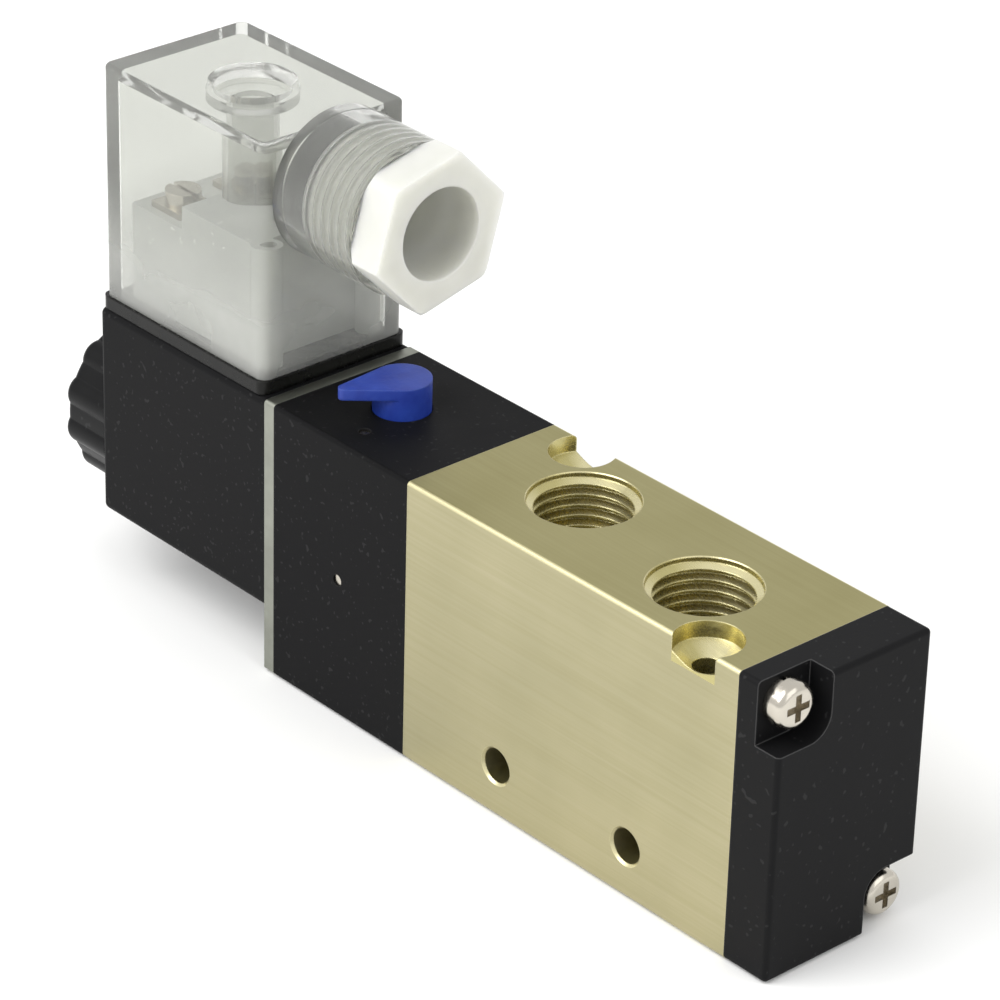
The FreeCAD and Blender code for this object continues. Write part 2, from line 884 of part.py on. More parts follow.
def override_cutters():
    """The override's stepped bore, with the wide pocket at its foot and the seat below it."""
    top = ("-override_x", "0", "height - override_recess_depth")
    recess = cylinder("override_recess", "override_recess_radius", "override_recess_depth + past", top)
    start = ("-override_x", "0", "override_bore_floor")
    bore = cylinder("override_bore", "override_bore_radius", "height - override_bore_floor", start)
    height = "override_pocket_top - override_bore_floor"
    pocket = cylinder("override_pocket", "override_pocket_radius", height, start)
    seat = cylinder(
        "override_seat",
        "drill_radius",
        "override_bore_floor - gallery_z + past",
        ("-override_x", "0", "gallery_z"),
    )
    return [recess, bore, pocket, seat]


def passage_cutters():
    """Air passages of the pilot: supply, outlet and the drilled holes that the plugs close."""
    supply = cylinder(
        "supply_passage",
        "gallery_radius",
        f"supply_drill_x - {BODY_END}",
        ("-supply_drill_x", "0", "gallery_z"),
        "X",
    )
    riser = cylinder("supply_riser", "drill_radius", "axis_height", ("-supply_drill_x", "0", "0"))
    length = f"-supply_drill_x - {CAVITY_FLOOR}"
    nozzle_feed = cylinder("nozzle_feed", "drill_radius", length, (CAVITY_FLOOR, "0", "axis_height"), "X")
    length = f"-body_length / 2 - cylinder_depth - {CAVITY_FLOOR} + past"
    outlet = cylinder("outlet_passage", "drill_radius", length, (CAVITY_FLOOR, "-outlet_y", "outlet_z"), "X")
    drop = cylinder(
        "outlet_drill", "drill_radius", "height - outlet_z", ("-plug_x", "-plug_y", "outlet_z")
    )
    link = cylinder(
        "outlet_link", "drill_radius", "plug_y - outlet_link_end", ("-plug_x", "-plug_y", "outlet_z"), "Y"
    )
    return [supply, riser, nozzle_feed, outlet, drop, link]


def plug_seats():
    length = "(plug_length + plug_recess)"
    top = cylinder(
        "top_plug_seat", "plug_radius", f"{length} + past", ("-plug_x", "-plug_y", f"height - {length}")
    )
    under = cylinder(
        "under_plug_seat", "plug_radius", f"{length} + past", ("-supply_drill_x", "0", "-past")
    )
    start = ("-pin_x", "-width / 2 - past", "pin_z")
    pin = cylinder("pin_hole", "plug_radius", "width / 2 + past + pin_reach", start, "Y")
    return [top, under, pin]


def pilot_body():
    """The pilot block between the valve body and the coil, with its cylinder and passages."""
    corner = (PILOT_FAR, "-width / 2", "0")
    block = box("pilot_block", ("pilot_length", "width", "height"), corner)
    base = rounded("pilot_rounded", block, "body_round", runs_along(0))
    start = (f"-{BODY_END} - cylinder_depth", "0", "axis_height")
    chamber = cylinder("piston_cylinder", "cylinder_radius", "cylinder_depth + past", start, "X")
    axis = ("0", "axis_height")
    start = (f"{PILOT_FAR} - past", *axis)
    flange = cylinder("flange_recess", "flange_radius + seat_gap", "flange_thick + past", start, "X")
    start = (FLANGE_FLOOR, *axis)
    groove = ring("tube_ring_groove", "tube_ring_inner", "tube_ring_outer", "tube_ring_thick", start)
    depth = "flange_thick + cavity_depth"
    cavity = cylinder("plunger_cavity", "cavity_radius", depth, (PILOT_FAR, *axis), "X")
    nozzle = cylinder(
        "nozzle_seat", "nozzle_radius + seat_gap", "nozzle_depth", (CAVITY_FLOOR, *axis), "X"
    )
    tools = [chamber, flange, groove, cavity, nozzle]
    tools.append(gasket_recess("pilot_gasket_recess", f"-{BODY_END} - gasket_thick"))
    for y, z in corner_positions(-1):
        start = (f"{PILOT_FAR} - past", y, z)
        length = "pilot_length + 2 * past"
        tools.append(cylinder("pilot_screw_hole", "screw_hole_radius", length, start, "X"))
    tools += override_cutters() + passage_cutters() + plug_seats()
    return carved("pilot_body", base, tools)


def passage_plugs():
    radius = "plug_radius - seat_gap"
    top = cylinder(
        "top_plug", radius, "plug_length", ("-plug_x", "-plug_y", "height - plug_length - plug_recess")
    )
    under_start = ("-supply_drill_x", "0", "plug_recess")
    under = cylinder("under_plug", radius, "plug_length - plug_recess", under_start)
    return fused("passage_plugs", [top, under])


def override_pin():
    start = ("-pin_x", "plug_recess - width / 2", "pin_z")
    length = "width / 2 - plug_recess + pin_reach - seat_gap"
    return cylinder("override_pin", "plug_radius - seat_gap", length, start, "Y")


def lever_arm():
    """The pointer plate: the hull of the round head and a small tip, as an outline with two arcs."""
    item = document.addObject("Part::Feature", "lever_arm")
    head = number("lever_head_radius")
    tip = number("lever_tip_radius")
    reach = number("lever_tip_reach")
    lean = math.asin((head - tip) / reach)
    points = {}
    for label, radius, along in (("head", head, 0.0), ("tip", tip, reach)):
        for sign in (-1, 1):
            across = sign * radius * math.cos(lean)
            points[label, sign] = FreeCAD.Vector(along + radius * math.sin(lean), across, 0)
    back = FreeCAD.Vector(-head, 0, 0)
    front = FreeCAD.Vector(reach + tip, 0, 0)
    edges = [
        Part.Arc(points["head", 1], back, points["head", -1]).toShape(),
        Part.LineSegment(points["head", -1], points["tip", -1]).toShape(),
        Part.Arc(points["tip", -1], front, points["tip", 1]).toShape(),
        Part.LineSegment(points["tip", 1], points["head", 1]).toShape(),
    ]
    thickness = number("lever_top - lever_under")
    item.Shape = Part.Face(Part.Wire(edges)).extrude(FreeCAD.Vector(0, 0, thickness))
    turn = FreeCAD.Rotation(FreeCAD.Vector(0, 0, 1), -90 - number("lever_rest_angle"))
    place(item, ("-override_x", "0", "height + lever_under"), turn)
    return item


def override_lever():
    """The blue lever: a pointer on a round head, with a grooved stem down into the pilot."""
    head_bottom = "height - override_recess_depth + lever_travel + lever_head_gap"
    ring_half = "stem_ring_width / 2"
    outline = [("stem_bottom", "0"), ("stem_bottom", "stem_radius")]
    grooves = (
        (f"stem_lower_ring_z - {ring_half}", f"stem_lower_ring_z + {ring_half}"),
        ("pin_z - plug_radius - pin_play", "pin_z + plug_radius + lever_travel + pin_play"),
        (f"stem_upper_ring_z - {ring_half}", f"stem_upper_ring_z + {ring_half}"),
    )
    for low, high in grooves:
        outline += [
            (low, "stem_radius"),
            (low, "stem_groove"),
            (high, "stem_groove"),
            (high, "stem_radius"),
        ]
    outline += [
        (head_bottom, "stem_radius"),
        (head_bottom, "lever_head_radius"),
        ("height + lever_top", "lever_head_radius"),
        ("height + lever_top", "0"),
    ]
    stem = turned("lever_stem", outline, ("-override_x", "0", "0"), UP)
    return fused("override_lever", [stem, lever_arm()])


def override_seals():
    rings = []
    for level in ("stem_lower_ring_z", "stem_upper_ring_z"):
        start = ("-override_x", "0", f"{level} - stem_ring_width / 2")
        outer = "override_bore_radius - running_gap"
        rings.append(ring("stem_ring", "stem_groove", outer, "stem_ring_width", start, UP))
    return fused("override_seals", rings)


def override_spring():
    start = ("-override_x", "0", "height - override_recess_depth")
    room = "lever_travel + lever_head_gap"
    return spring(
        "override_spring",
        "override_coil_radius",
        "override_wire_radius",
        "override_turns",
        room,
        start,
        "Z",
    )


def pilot_nozzle():
    """The pressed-in seat that the plunger closes."""
    shoulder = "nozzle_rise / 2"
    outline = [
        ("0", "nozzle_bore"),
        ("0", "nozzle_tip_radius"),
        (shoulder, "nozzle_radius"),
        ("nozzle_rise + nozzle_depth", "nozzle_radius"),
        ("nozzle_rise + nozzle_depth", "nozzle_bore"),
    ]
    return turned("pilot_nozzle", outline, (f"{CAVITY_FLOOR} - nozzle_rise", "0", "axis_height"))


def tube_plate():
    """The bright plate that clamps the armature tube, with two countersunk screw holes."""
    corner = (PLATE_FAR, "-width / 2", "0")
    block = box("plate_block", ("plate_thick", "width", "height"), corner)
    base = rounded("plate_rounded", block, "body_round", runs_along(0))
    start = (f"{PLATE_FAR} - past", "0", "axis_height")
    tools = [cylinder("plate_hole", "tube_hole", "plate_thick + 2 * past", start, "X")]
    for y, z in corner_positions(-1):
        tools.append(countersink("plate_countersink", "head_radius", "screw_hole_radius", y, z))
    return carved("tube_plate", base, tools)


def countersink(name, mouth, hole, y, z):
    outline = [
        ("-past", "0"),
        ("-past", mouth),
        ("countersink_lip", mouth),
        (f"{mouth} - {hole} + countersink_lip", hole),
        ("plate_thick + past", hole),
        ("plate_thick + past", "0"),
    ]
    return turned(name, outline, (PLATE_FAR, y, z))


def pilot_screws():
    """Two long countersunk screws through the plate and the pilot into the valve body."""
    screws = []
    rim = "(head_radius - 2 * seat_gap)"
    for y, z in corner_positions(-1):
        outline = [
            ("countersink_lip", "0"),
            ("countersink_lip", rim),
            (f"{rim} - screw_radius + countersink_lip", "screw_radius"),
            ("pilot_screw_length", "screw_radius"),
            ("pilot_screw_length", "0"),
        ]
        blank = turned("pilot_screw_blank", outline, (PLATE_FAR, y, z))
        arms = cross_recess("pilot_screw", (f"{PLATE_FAR} - past", y, z))
        screws.append(carved("pilot_screw", blank, arms))
    return fused("pilot_screws", screws)


CORE_END = f"({COIL_FAR} + core_shoulder)"


def armature_tube():
    """A thin tube with a flange that sits in the pilot's recess."""
    flange_end = "(flange_thick - running_gap)"
    length = f"({PILOT_FAR} - {CORE_END})"
    outline = [
        (f"-{length}", "tube_inner"),
        (f"-{length}", "tube_outer"),
        ("0", "tube_outer"),
        ("0", "flange_radius"),
        (flange_end, "flange_radius"),
        (flange_end, "tube_inner"),
    ]
    return turned("armature_tube", outline, (PILOT_FAR, "0", "axis_height"))


def tube_ring():
    start = (FLANGE_FLOOR, "0", "axis_height")
    inner = "tube_ring_inner + seat_gap"
    outer = "tube_ring_outer - seat_gap"
    return ring("tube_ring", inner, outer, "tube_ring_thick - running_gap", start)


PLUNGER_FRONT = f"({PILOT_FAR} + plunger_front)"
PLUNGER_SHOULDER = f"({PLUNGER_FRONT} - plunger_long)"
PLUNGER_TAIL = f"({PLUNGER_SHOULDER} - plunger_tail)"
CORE_FACE = f"({PLUNGER_TAIL} - plunger_travel - running_gap)"


def fixed_core():
    """The fixed core that closes the tube, with its drilled exhaust and the stub for the coil nut."""
    outline = [
        ("-stub_length", "core_bore"),
        ("-stub_length", "stub_radius - stub_chamfer"),
        ("stub_chamfer - stub_length", "stub_radius"),
        ("0", "stub_radius"),
        ("0", "tube_outer"),
        ("core_shoulder", "tube_outer"),
        ("core_shoulder", "tube_inner - seat_gap"),
        (f"{CORE_FACE} - {COIL_FAR}", "tube_inner - seat_gap"),
        (f"{CORE_FACE} - {COIL_FAR}", "core_bore"),
    ]
    return turned("fixed_core", outline, (COIL_FAR, "0", "axis_height"))


def plunger():
    """The moving core: slotted sides, a thin tail inside the spring and a pocket at each end."""
    pocket = "plunger_seal_radius + seat_gap"
    total = "(plunger_long + plunger_tail)"
    outline = [
        ("plunger_seal_thick", "0"),
        ("plunger_seal_thick", pocket),
        ("0", pocket),
        ("0", "plunger_tail_radius"),
        ("plunger_tail", "plunger_tail_radius"),
        ("plunger_tail", "plunger_radius"),
        (total, "plunger_radius"),
        (total, pocket),
        (f"{total} - plunger_seal_thick", pocket),
        (f"{total} - plunger_seal_thick", "0"),
    ]
    blank = turned("plunger_blank", outline, (PLUNGER_TAIL, "0", "axis_height"))
    slots = []
    for sign in (-1, 1):
        middle = (
            f"({PLUNGER_TAIL} + {total} / 2)",
            f"{sign} * (plunger_radius + past - plunger_slot_depth)",
            "axis_height - plunger_slot / 2",
        )
        size = (f"{total} + 2 * past", "2 * past", "plunger_slot")
        slots.append(centred_box("plunger_slot_cutter", size, middle))
    return carved("plunger", blank, slots)


def plunger_seals():
    """The front seat seal, standing proud of the plunger, and the rear one."""
    front = cylinder(
        "front_seal",
        "plunger_seal_radius",
        "plunger_seal_thick + plunger_seal_proud",
        (f"{PLUNGER_FRONT} - plunger_seal_thick", "0", "axis_height"),
        "X",
    )
    rear = cylinder(
        "rear_seal", "plunger_seal_radius", "plunger_seal_thick", (PLUNGER_TAIL, "0", "axis_height"), "X"
    )
    return fused("plunger_seals", [front, rear])


def plunger_spring():
    room = f"({PLUNGER_SHOULDER} - {CORE_FACE})"
    start = (CORE_FACE, "0", "axis_height")
    return spring(
        "plunger_spring", "plunger_coil_radius", "plunger_wire_radius", "plunger_turns", room, start, "X"
    )


def coil_housing():
    """The moulded coil block, hollow for the yoke and winding, with slots for the terminals."""
    corner = (COIL_FAR, "-width / 2", COIL_FLOOR_Z)
    block = box("coil_block", ("coil_length", "width", "coil_height"), corner)
    far = lies_on(0, COIL_FAR)
    lengthwise = runs_along(0)
    base = rounded("coil_edges", block, "coil_round", either(far, lengthwise))
    cavity = box(
        "coil_cavity",
        (
            "coil_length - 2 * coil_wall",
            "width - 2 * coil_side_wall",
            f"coil_cavity_top - {COIL_FLOOR_Z} - coil_floor",
        ),
        (f"{COIL_FAR} + coil_wall", "coil_side_wall - width / 2", f"{COIL_FLOOR_Z} + coil_floor"),
    )
    start = (f"{COIL_FAR} - past", "0", "axis_height")
    tube = cylinder("coil_bore", "tube_hole", "coil_length + 2 * past", start, "X")
    bush_start = ("-connector_x", "0", "height - bush_length")
    bush = cylinder("bush_seat", "bush_radius + seat_gap", "bush_length + past", bush_start)
    tools = [cavity, tube, bush]
    tools += blades("blade_slot", "2 * seat_gap", "coil_cavity_top - past", "height + past")
    return carved("coil_housing", base, tools)


def blades(name, gap, bottom, top):
    """Three flat blades, or the slots for them when gap is more than zero."""
    long_side = f"blade_width + {gap}"
    short_side = f"blade_thick + {gap}"
    height = f"({top}) - ({bottom})"
    items = []
    for sign in (-1, 1):
        middle = ("-line_blade_x", f"{sign} * line_blade_y", bottom)
        items.append(centred_box(name, (long_side, short_side, height), middle))
    middle = ("-earth_blade_x", "0", bottom)
    items.append(centred_box(name, (short_side, long_side, height), middle))
    return items


def coil_terminals():
    return fused("coil_terminals", blades("terminal_blade", "0", "blade_bottom", "blade_top"))


def coil_yoke():
    """A steel frame round the winding: two end plates joined by a web above it."""
    gap = "running_gap"
    left = f"({COIL_FAR} + coil_wall + {gap})"
    length = f"(coil_length - 2 * coil_wall - 2 * {gap})"
    half = f"(width / 2 - coil_side_wall - {gap})"
    low = f"({COIL_FLOOR_Z} + coil_floor + {gap})"
    top = f"(coil_cavity_top - {gap})"
    web = box("yoke_web", (length, f"2 * {half}", "yoke_thick"), (left, f"-{half}", f"{top} - yoke_thick"))
    plates = []
    for start in (left, f"{left} + {length} - yoke_thick"):
        size = ("yoke_thick", f"2 * {half}", f"{top} - {low}")
        plates.append(box("yoke_plate", size, (start, f"-{half}", low)))
    frame = fused("yoke_frame", [web, *plates])
    start = (f"{COIL_FAR} - past", "0", "axis_height")
    hole = cylinder("yoke_hole", "tube_hole", "coil_length + 2 * past", start, "X")
    return carved("coil_yoke", frame, [hole])


BOBBIN_LEFT = f"({COIL_FAR} + coil_wall + 2 * running_gap + yoke_thick)"
BOBBIN_LENGTH = "(coil_length - 2 * coil_wall - 4 * running_gap - 2 * yoke_thick)"
BOBBIN_RADIUS = "(tube_hole + bobbin_wall)"


def coil_bobbin():
    outline = [
        ("0", "tube_hole"),
        ("0", "bobbin_flange_radius"),
        ("bobbin_flange", "bobbin_flange_radius"),
        ("bobbin_flange", BOBBIN_RADIUS),
        (f"{BOBBIN_LENGTH} - bobbin_flange", BOBBIN_RADIUS),
        (f"{BOBBIN_LENGTH} - bobbin_flange", "bobbin_flange_radius"),
        (BOBBIN_LENGTH, "bobbin_flange_radius"),
        (BOBBIN_LENGTH, "tube_hole"),
    ]
    return turned("coil_bobbin", outline, (BOBBIN_LEFT, "0", "axis_height"))


def coil_winding():
    start = (f"{BOBBIN_LEFT} + bobbin_flange + seat_gap", "0", "axis_height")
    width = f"{BOBBIN_LENGTH} - 2 * bobbin_flange - 2 * seat_gap"
    return ring("coil_winding", f"{BOBBIN_RADIUS} + seat_gap", "winding_radius", width, start)


NUT_START = f"({COIL_FAR} - running_gap)"


def coil_nut():
    """The lobed hand nut that holds the coil on the tube."""
    left = f"({NUT_START} - nut_thick)"
    length = "nut_thick"
    disc = cylinder("nut_disc", "nut_disc_radius", length, (left, "0", "axis_height"), "X")
    pieces = [rounded("nut_disc_soft", disc, "nut_round", lies_on(0, left))]
    count = int(number("nut_lobes"))
    reach = "nut_lobe_reach"
    for index in range(count):
        angle = math.radians(number("nut_first_lobe") + 360 * index / count)
        middle = (
            left,
            f"{reach} * {math.cos(angle):.6f}",
            f"axis_height + {reach} * {math.sin(angle):.6f}",
        )
        lobe = cylinder("nut_lobe", "nut_lobe_radius", length, middle, "X")
        pieces.append(rounded("nut_lobe_soft", lobe, "nut_round", lies_on(0, left)))
    blank = fused("nut_blank", pieces)
    start = (f"{left} - past", "0", "axis_height")
    bore = cylinder("nut_bore_cutter", "nut_bore", "nut_thick + 2 * past", start, "X")
    washer_start = (f"{NUT_START} - nut_washer_thick - running_gap", "0", "axis_height")
    depth = "nut_washer_thick + running_gap + past"
    seat = cylinder("nut_washer_seat", "nut_washer_radius + running_gap", depth, washer_start, "X")
    hub = cylinder("nut_hub_recess_cutter", "nut_hub_radius", "nut_hub_recess + past", start, "X")
    return carved("coil_nut", blank, [bore, seat, hub])


def coil_nut_washer():
    start = (f"{NUT_START} - nut_washer_thick", "0", "axis_height")
    return ring("coil_nut_washer", "nut_bore", "nut_washer_radius", "nut_washer_thick", start)


def connector_gasket():
    """The soft gasket between the coil and the plug, with openings for blades and screw."""
    size = (
        "connector_length + 2 * seat_gasket_margin",
        "connector_width + 2 * seat_gasket_margin",
        "seat_gasket_height",
    )
    block = centred_box("gasket_block", size, ("-connector_x", "0", "height"))
    base = rounded("gasket_rounded", block, "connector_round", runs_along(2))
    start = ("-connector_x", "0", "height - past")
    tools = [cylinder("gasket_hole", "fixing_hole_radius", "seat_gasket_height + 2 * past", start)]
    tools += blades("gasket_slot", "2 * blade_gap", "height - past", "height + seat_gasket_height + past")
    return carved("connector_gasket", base, tools)


CUP_FLOOR = f"({ROOF_Z} - column_bottom - cup_depth)"


def connector_column():
    """The hollow column that carries the fixing screw, with the cup at its top under the roof."""
    outline = [
        ("0", "0"),
        ("0", "column_radius"),
        (f"{CUP_FLOOR} - cup_wall", "column_radius"),
        (f"{CUP_FLOOR} - cup_wall", "cup_radius + cup_wall"),
        (f"{ROOF_Z} - column_bottom - column_root", "cup_radius + cup_wall"),
        (f"{ROOF_Z} - column_bottom - column_root", "0"),
    ]
    return turned("column", outline, ("-connector_x", "0", "column_bottom"), UP)


def column_cutter():
    """The opening down the column: the cup, a straight bore and the screw's clearance hole."""
    roof = f"({ROOF_Z} - column_bottom)"
    outline = [
        ("-past", "0"),
        ("-past", "fixing_hole_radius"),
        ("column_floor", "fixing_hole_radius"),
        ("column_floor", "column_bore"),
        (CUP_FLOOR, "column_bore"),
        (CUP_FLOOR, "cup_radius"),
        (f"{roof} - cup_rim + cup_radius", "cup_radius"),
        (roof, "cup_rim"),
        (f"{roof} + past", "cup_rim"),
        (f"{roof} + past", "0"),
    ]
    return turned("column_opening", outline, ("-connector_x", "0", "column_bottom"), UP)


def boss_cutter():
    """The threaded bore of the cable boss and the passage into the plug."""
    lip = "boss_major + 0.1"
    chamfer = "(boss_major + 0.1 - boss_minor)"
    outline = [
        ("-past", "0"),
        ("-past", lip),
        ("0", lip),
        (chamfer, "boss_minor"),
        *thread_comb(f"{chamfer} + gland_pitch / 6", "gland_pitch", "boss_minor", "boss_major", BOSS_RINGS),
        ("boss_bore_depth", "boss_minor"),
        ("boss_bore_depth", "cable_passage"),
        ("boss_length + connector_wall + past", "cable_passage"),
        ("boss_length + connector_wall + past", "0"),
    ]
    return turned("boss_bore", outline, (BOSS_END, "0", "gland_z"), ALONG_MINUS_X)


def connector_housing():
    """The clear plug housing: open below, a hollow column inside and the cable boss in front."""
    size = ("connector_length", "connector_width", "connector_height")
    block = centred_box("plug_block", size, ("-connector_x", "0", GASKET_TOP))
    upright = rounded("plug_upright", block, "connector_round", runs_along(2))
    outer = rounded("plug_outer", upright, "connector_top_round", lies_on(2, ROOF_Z))
    size = (
        "connector_length - 2 * connector_wall",
        "connector_width - 2 * connector_wall",
        "connector_height - connector_roof + past",
    )
    hollow = centred_box("plug_hollow", size, ("-connector_x", "0", f"{GASKET_TOP} - past"))
    soft_hollow = rounded("plug_hollow_soft", hollow, "connector_wall / 2", runs_along(2))
    shell = carved("plug_shell", outer, [soft_hollow])
    start = (CONNECTOR_FRONT, "0", "gland_z")
    boss = cylinder("cable_boss", "boss_radius", "boss_length", start, "X")
    whole = fused("plug_whole", [shell, connector_column(), boss])
    return carved("connector_housing", whole, [column_cutter(), boss_cutter()])


TERMINAL_PLACES = [
    ("-line_blade_x", "-line_blade_y"),
    ("-line_blade_x", "line_blade_y"),
    ("-earth_blade_x", "0"),
]


def clip_cells(name, gap, bottom, top):
    """Three upright cells that hold the terminal clips, or the clips' own blanks."""
    long_side = f"clip_width + {gap}"
    short_side = f"clip_thick + {gap}"
    height = f"({top}) - ({bottom})"
    items = []
    for sign in (-1, 1):
        middle = ("-line_blade_x", f"{sign} * line_blade_y", bottom)
        items.append(centred_box(name, (long_side, short_side, height), middle))
    middle = ("-earth_blade_x", "0", bottom)
    items.append(centred_box(name, (short_side, long_side, height), middle))
    return items


def terminal_block():
    """The insulating block: stepped top, cells for the clips and two corner posts."""
    depth = "2 * block_half_width"
    low = box(
        "block_low",
        ("block_left - block_right", depth, "block_step_top - block_bottom"),
        ("-block_left", "-block_half_width", "block_bottom"),
    )
    high = box(
        "block_high",
        ("block_step_x - block_right", depth, "block_top - block_bottom"),
        ("-block_step_x", "-block_half_width", "block_bottom"),
    )
    posts = []
    holes = []
    for sign in (-1, 1):
        start = ("-post_x", f"{sign} * post_y", "block_bottom")
        posts.append(cylinder("block_post", "post_radius", "block_top - block_bottom", start))
        start = ("-post_x", f"{sign} * post_y", "block_top - post_hole_depth")
        holes.append(cylinder("block_post_hole", "post_hole", "post_hole_depth + past", start))
    whole = fused("block_whole", [low, high, *posts])
    start = ("-connector_x", "0", "block_bottom - past")
    hole = cylinder("block_hole_cutter", "block_hole", "block_top - block_bottom + 2 * past", start)
    cells = clip_cells("clip_cell", "2 * clip_gap", "block_bottom - past", "block_step_top + past")
    well = cylinder(
        "earth_well", "earth_well_radius", "block_top", ("-earth_blade_x", "0", "clip_top")
    )
    return carved("terminal_block", whole, [hole, *cells, *holes, well])


def terminal_clips():
    """Three clips: a sleeve for the blade, closed above it where the wire screw bites."""
    blanks = clip_cells("clip_blank", "0", "clip_bottom", "clip_top")
    slots = blades("clip_slot", "2 * blade_gap", "clip_bottom - past", "clip_slot_top")
    clips = []
    for blank, slot, (x, y) in zip(blanks, slots, TERMINAL_PLACES):
        start = (x, y, "clip_top - terminal_screw_depth")
        radius = "terminal_screw_radius + seat_gap"
        hole = cylinder("clip_hole", radius, "terminal_screw_depth + past", start)
        clips.append(carved("terminal_clip", blank, [slot, hole]))
    return fused("terminal_clips", clips)


def terminal_clamps():
    """Square plates under the wire screws."""
    clamps = []
    widths = ("clamp_width", "clamp_width", "earth_clamp_width")
    for (x, y), width in zip(TERMINAL_PLACES, widths):
        block = centred_box("clamp_block", (width, width, "clamp_thick"), (x, y, "clip_top"))
        start = (x, y, "clip_top - past")
        hole = cylinder("clamp_hole", "terminal_screw_radius + seat_gap", "clamp_thick + 2 * past", start)
        clamps.append(carved("wire_clamp", block, [hole]))
    return fused("terminal_clamps", clamps)


def terminal_screws():
    """Three slotted wire screws, standing on their clamp plates."""
    screws = []
    seat = "(clip_top + clamp_thick)"
    for x, y in TERMINAL_PLACES:
        shank = cylinder(
            "wire_screw_shank",
            "terminal_screw_radius",
            "terminal_screw_depth",
            (x, y, f"{seat} - terminal_screw_depth"),
        )
        head = cylinder("wire_screw_head", "terminal_head_radius", "terminal_head_height", (x, y, seat))
        blank = fused("wire_screw_blank", [shank, head])
        size = ("2 * terminal_head_radius + past", "slot_width", "slot_depth + past")
        middle = (x, y, f"{seat} + terminal_head_height - slot_depth")
        screws.append(carved("wire_screw", blank, [centred_box("wire_screw_slot", size, middle)]))
    return fused("terminal_screws", screws)


def fixing_screw():
    """The captive screw down the column into the coil's bush."""
    seat = "column_bottom + column_floor"
    start = ("-connector_x", "0", f"{seat} - fixing_screw_length")
    shank = cylinder("fixing_shank", "screw_radius", "fixing_screw_length", start)
    head = cylinder("fixing_head", "fixing_head_radius", "head_height", ("-connector_x", "0", seat))
    blank = fused("fixing_blank", [shank, head])
    size = ("2 * fixing_head_radius + past", "slot_width", "slot_depth + past")
    middle = ("-connector_x", "0", f"{seat} + head_height - slot_depth")
    return carved("fixing_screw", blank, [centred_box("fixing_slot", size, middle)])


def fixing_bush():
    start = ("-connector_x", "0", "height - bush_length")
    return ring("fixing_bush", "tapped_radius", "bush_radius", "bush_length", start, UP)


GROMMET_LEFT = f"({BOSS_END} - boss_bore_depth + running_gap)"
FOLLOWER_LEFT = f"({GROMMET_LEFT} + grommet_length)"
STEM_LEFT = f"({FOLLOWER_LEFT} + follower_thick)"


def gland_grommet():
    start = (GROMMET_LEFT, "0", "gland_z")
    return ring("gland_grommet", "grommet_bore", "grommet_radius", "grommet_length", start)


def gland_follower():
    start = (FOLLOWER_LEFT, "0", "gland_z")
    return ring("gland_follower", "gland_bore", "grommet_radius", "follower_thick", start)


def gland_nut():
    """The hexagon nut of the cable gland with its ringed stem and cable bore."""
    hex_start = (BOSS_END, "0", "gland_z")
    prism = document.addObject("Part::Prism", "gland_hexagon")
    prism.Polygon = 6
    bind(prism, "Circumradius", "hex_circumradius")
    bind(prism, "Height", "hex_length")
    spin = FreeCAD.Rotation(FreeCAD.Vector(1, 0, 0), number("hex_angle") + 90)
    place(prism, hex_start, spin.multiply(CYLINDER_TURNS["X"]))
    chamfer = "(hex_circumradius - hex_rear_radius)"
    front = "(hex_circumradius - hex_front_radius)"
    outline = [
        ("0", "0"),
        ("0", "hex_rear_radius"),
        (chamfer, "hex_circumradius"),
        (f"hex_length - {front} / 2", "hex_circumradius"),
        ("hex_length", "hex_front_radius"),
        ("hex_length", "0"),
    ]
    envelope = turned("gland_envelope", outline, hex_start)
    head = shared("gland_head", prism, envelope)
    length = f"({BOSS_END} - {STEM_LEFT})"
    outline = [
        ("0", "0"),
        ("0", "gland_root"),
        *thread_comb("gland_pitch / 6", "gland_pitch", "gland_root", "gland_crest", GLAND_RINGS),
        (f"{length} + past", "gland_root"),
        (f"{length} + past", "0"),
    ]
    stem = turned("gland_stem", outline, (STEM_LEFT, "0", "gland_z"))
    blank = fused("gland_blank", [head, stem])
    start = (f"{STEM_LEFT} - past", "0", "gland_z")
    bore = cylinder("gland_bore_cutter", "gland_bore", "hex_length + boss_length", start, "X")
    return carved("gland_nut", blank, [bore])


SUB_PARTS = [
    valve_body,
    spool,
    spool_seals,
    drive_piston,
    piston_seal,
    return_spring,
    end_cap,
    end_cap_gasket,
    end_cap_screws,
    end_cap_spring_washers,
    pilot_body,
    pilot_gasket,
    pilot_screws,
    passage_plugs,
    override_lever,
    override_seals,
    override_spring,
    override_pin,
    pilot_nozzle,
    tube_plate,
    armature_tube,
    tube_ring,
    fixed_core,
    plunger,
    plunger_seals,
    plunger_spring,
    coil_housing,
    coil_yoke,
    coil_bobbin,
    coil_winding,
    coil_terminals,
    coil_nut,
    coil_nut_washer,
    connector_gasket,
    connector_housing,
    terminal_block,
    terminal_clips,
    terminal_clamps,
    terminal_screws,
    fixing_screw,
    fixing_bush,
    gland_grommet,
    gland_follower,
    gland_nut,
]


def check(pieces):
    for item in document.Objects:
        faults = {"Invalid", "Error"} & set(item.State)
        if faults:
            raise RuntimeError(f"{item.Name} did not compute: {sorted(faults)}")
    for piece in pieces:
        if piece.Shape.isNull() or not piece.Shape.isValid():
            raise RuntimeError(f"{piece.Label} has no valid shape")


def write(pieces):
    os.makedirs("parts", exist_ok=True)
    for piece in pieces:
        piece.Shape.exportStep(f"parts/{piece.Label}.step")


fill_sheet()
built = [make() for make in SUB_PARTS]
document.recompute()
check(built)
write(built)
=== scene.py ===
import json
import math

import bpy
from mathutils import Matrix, Vector


